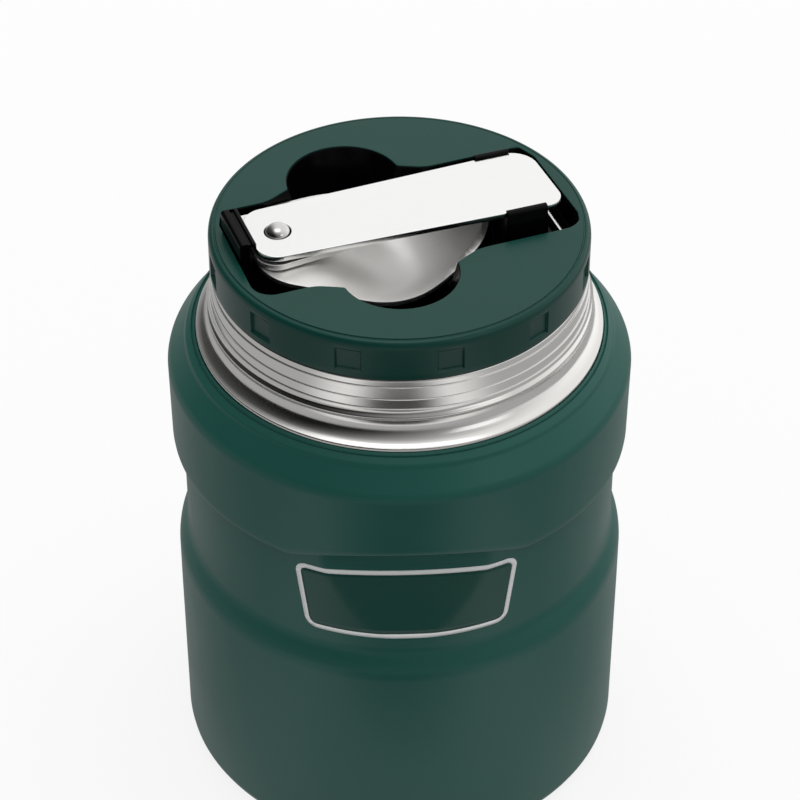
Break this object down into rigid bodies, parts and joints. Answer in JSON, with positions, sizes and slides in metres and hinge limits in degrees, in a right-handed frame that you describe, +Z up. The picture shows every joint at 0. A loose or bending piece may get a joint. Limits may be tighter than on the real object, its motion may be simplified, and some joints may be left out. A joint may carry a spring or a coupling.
{
  "type": "insulated food jar",
  "caption": "Vacuum-insulated steel food jar with a screw-in stopper that stores a folding spoon under spring catches.",
  "frame": {"origin": "centre of the jar's footprint, on the plane it stands on", "axes": "+Z up along the jar's axis, -Y towards the badge panel, +X to the right of it"},
  "size_m": [0.0954, 0.0954, 0.1375],
  "materials": {
    "painted_steel": "satin dark green paint",
    "brushed_steel": "brushed stainless steel",
    "polished_steel": "polished stainless steel",
    "bare_steel": "plain stainless sheet",
    "copper_foil": "thin reflecting foil",
    "solder_glass": "fused sealing glass",
    "getter_metal": "sintered getter",
    "green_plastic": "satin green polypropylene",
    "black_plastic": "black polypropylene",
    "base_plastic": "dark foot plate",
    "silicone": "translucent grey silicone",
    "foam": "white closed-cell foam"
  },
  "bodies": {
    "jar": {"outer_shell": "painted_steel", "neck_ring": "brushed_steel", "inner_liner": "bare_steel", "heat_foil": "copper_foil", "vacuum_bottom": "bare_steel", "seal_bead": "solder_glass", "getter": "getter_metal", "getter_clip": "bare_steel", "base_cap": "base_plastic"},
    "gasket": {"rim_gasket": "silicone"},
    "stopper": {"stopper_cap": "green_plastic", "spoon_tray": "black_plastic", "side_catch_near": "black_plastic", "side_catch_far": "black_plastic", "lift_spring": "polished_steel", "stopper_core": "black_plastic", "insulation": "foam", "plug_base": "black_plastic", "plug_gasket": "silicone"},
    "latch": {"end_latch": "black_plastic"},
    "spoon": {"spoon_bowl": "polished_steel", "tang_leaf": "polished_steel", "pivot_washer": "black_plastic", "pivot_rivet": "polished_steel"},
    "handle": {"spoon_handle": "polished_steel"}
  },
  "joints": [
    {"name": "stopper_rise", "type": "slide", "parent": "jar", "child": "gasket", "axis": [0, 0, 1], "range_m": [0, 0.0241]},
    {"name": "stopper_turn", "type": "hinge", "parent": "gasket", "child": "stopper", "pos_m": [0, 0, 0.12], "axis": [0, 0, 1], "range_deg": [0, 720]},
    {"name": "spoon_lift", "type": "slide", "parent": "stopper", "child": "spoon", "axis": [0, 0, 1], "range_m": [0, 0.05], "deforming": ["side_catch_near", "side_catch_far", "end_latch"]},
    {"name": "handle_swing", "type": "hinge", "parent": "spoon", "child": "handle", "pos_m": [-0.02392, -0.0074, 0.136], "axis": [0, 0, 1], "range_deg": [0, 180], "deforming": ["side_catch_near", "side_catch_far", "end_latch"]},
    {"name": "latch_flex", "type": "hinge", "parent": "stopper", "child": "latch", "pos_m": [-0.03208, -0.00714, 0.1278], "axis": [0.3502, -0.9367, 0], "range_deg": [0, 8], "stiffness_Nm_per_rad": 0.4}
  ],
  "couplings": [
    {"joint": "stopper_rise", "follows": "stopper_turn", "m_per_rad": 0.0019099}
  ]
}
